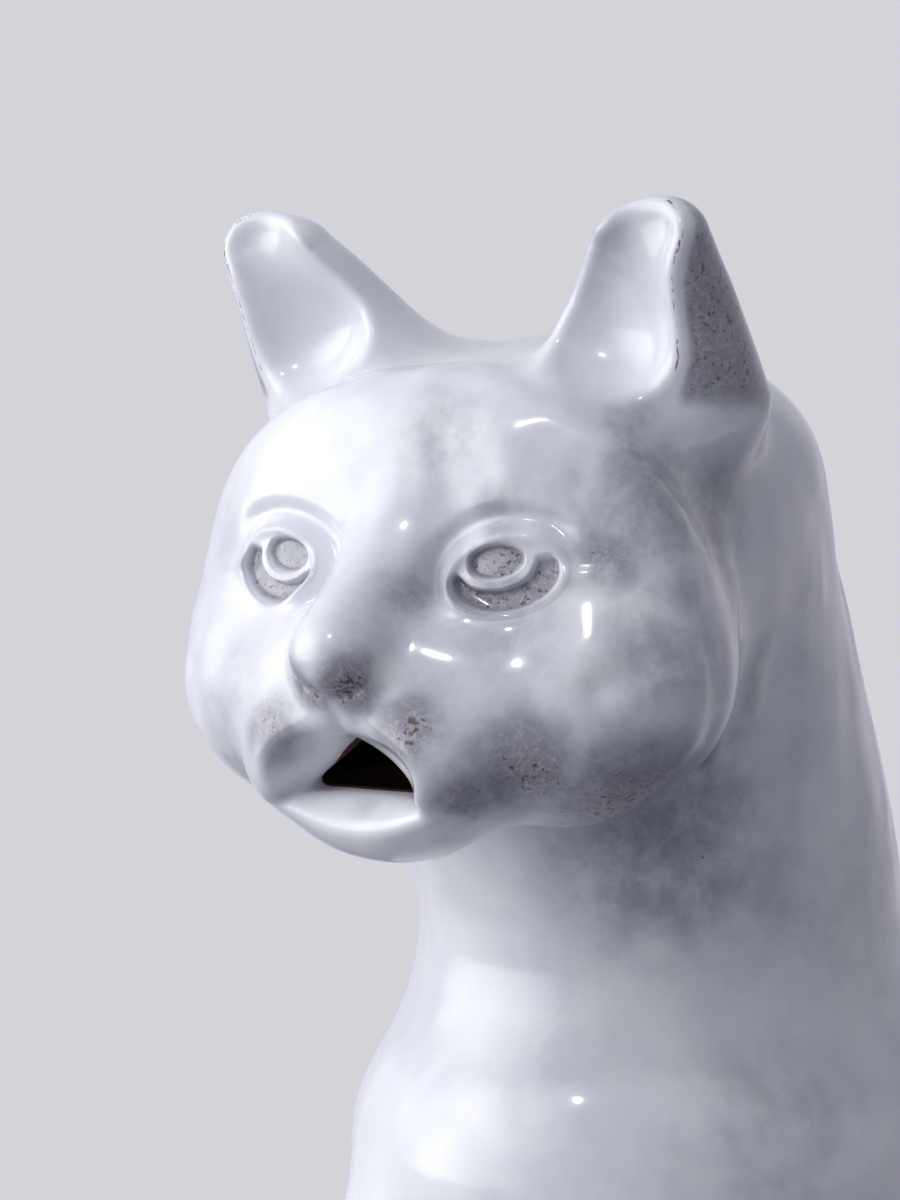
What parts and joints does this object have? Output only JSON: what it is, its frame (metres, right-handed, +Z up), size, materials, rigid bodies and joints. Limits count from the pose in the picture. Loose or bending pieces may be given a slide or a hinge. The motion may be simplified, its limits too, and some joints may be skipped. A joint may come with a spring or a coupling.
{
  "type": "ceramic cat incense burner",
  "caption": "Hollow white-glazed sitting cat with an open mouth, standing over a round dish with an incense holder, so that smoke leaves by the mouth.",
  "frame": {"origin": "centre of the dish's flat underside, on the table", "axes": "+Z up, the cat faces -Y, its left side is +X"},
  "size_m": [0.212, 0.2173, 0.3028],
  "materials": {
    "glaze": "glossy milky white glaze over dark terracotta, thin and grey-brown at edges"
  },
  "bodies": {
    "dish": {"dish": "glaze"},
    "cat": {"torso_left": "glaze", "torso_right": "glaze", "head_left": "glaze", "head_right": "glaze", "ear_left": "glaze", "ear_right": "glaze", "eye_left": "glaze", "eye_right": "glaze", "tail": "glaze"},
    "holder": {"incense_holder": "glaze"}
  },
  "joints": [
    {"name": "cat_lift", "type": "slide", "parent": "dish", "child": "cat", "axis": [0, 0, 1], "range_m": [0, 0.06]},
    {"name": "holder_lift", "type": "slide", "parent": "dish", "child": "holder", "axis": [0, 0, 1], "range_m": [0, 0.03]}
  ]
}
